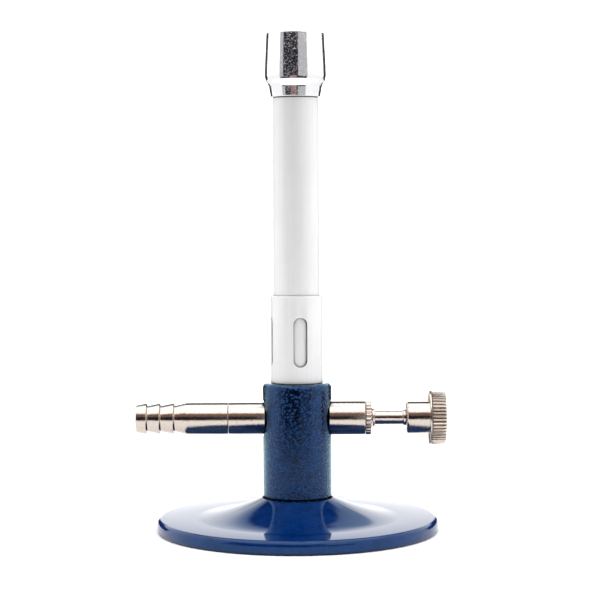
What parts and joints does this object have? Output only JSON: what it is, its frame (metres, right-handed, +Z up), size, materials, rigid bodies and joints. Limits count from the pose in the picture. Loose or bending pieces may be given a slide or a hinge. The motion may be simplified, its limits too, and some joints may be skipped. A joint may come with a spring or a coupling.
{
  "type": "bunsen burner",
  "caption": "Laboratory gas burner: round enamelled base, pillar, barbed hose nozzle, needle gas valve with knurled knob, and a tube with a turning air collar and plated crown.",
  "frame": {"origin": "middle of the footprint box on the bench plane; the axis of the pillar, tube, collar and crown is the vertical line 1.95 mm from it towards +X", "axes": "+Z up along the burner tube; the gas line lies along X at 34 mm height with the hose nozzle towards -X and the valve knob towards +X; the front is -Y"},
  "size_m": [0.0936, 0.085, 0.1498],
  "materials": {
    "blue_enamel": "glossy blue enamel over cast metal",
    "blue_hammer": "blue hammer-finish paint over cast metal",
    "nickel_plate": "bright nickel plate over turned brass",
    "bright_chrome": "mirror-bright plate",
    "satin_aluminium": "fine satin, light grey",
    "brass_turned": "plain turned brass",
    "zinc_steel": "bright zinc plate",
    "gasket_fibre": "red vulcanised fibre, matte",
    "graphite_packing": "pressed graphite packing",
    "black_rubber": "moulded black rubber"
  },
  "bodies": {
    "burner_stand": {"base_plate": "blue_enamel", "base_screw": "zinc_steel", "base_washer": "zinc_steel", "base_spring_washer": "zinc_steel", "pillar_body": "blue_hammer", "inlet_gasket": "gasket_fibre", "inlet_adapter": "nickel_plate", "nozzle_gasket": "gasket_fibre", "hose_nozzle": "nickel_plate", "valve_gasket": "gasket_fibre", "valve_body": "nickel_plate", "gland_packing": "graphite_packing", "gland_washer": "brass_turned", "gland_nut": "nickel_plate", "jet_gasket": "gasket_fibre", "jet_body": "brass_turned", "gas_jet": "brass_turned", "burner_tube": "satin_aluminium", "flame_stabiliser": "bright_chrome"},
    "air_regulator": {"air_collar": "satin_aluminium"},
    "needle_slide": {"spindle_o_ring": "black_rubber"},
    "valve_control": {"needle_spindle": "nickel_plate", "control_knob": "nickel_plate", "knob_screw": "zinc_steel"}
  },
  "joints": [
    {"name": "air_collar_turn", "type": "hinge", "parent": "burner_stand", "child": "air_regulator", "pos_m": [0.00195, 0, 0.05815], "axis": [0, 0, 1], "continuous": true},
    {"name": "needle_travel", "type": "slide", "parent": "burner_stand", "child": "needle_slide", "axis": [1, 0, 0], "range_m": [-0.0016, 0.0016]},
    {"name": "knob_turn", "type": "hinge", "parent": "needle_slide", "child": "valve_control", "pos_m": [0.00195, 0, 0.034], "axis": [1, 0, 0], "range_deg": [-720, 720]}
  ],
  "couplings": [
    {"joint": "needle_travel", "follows": "knob_turn", "m_per_rad": 0.000127}
  ]
}
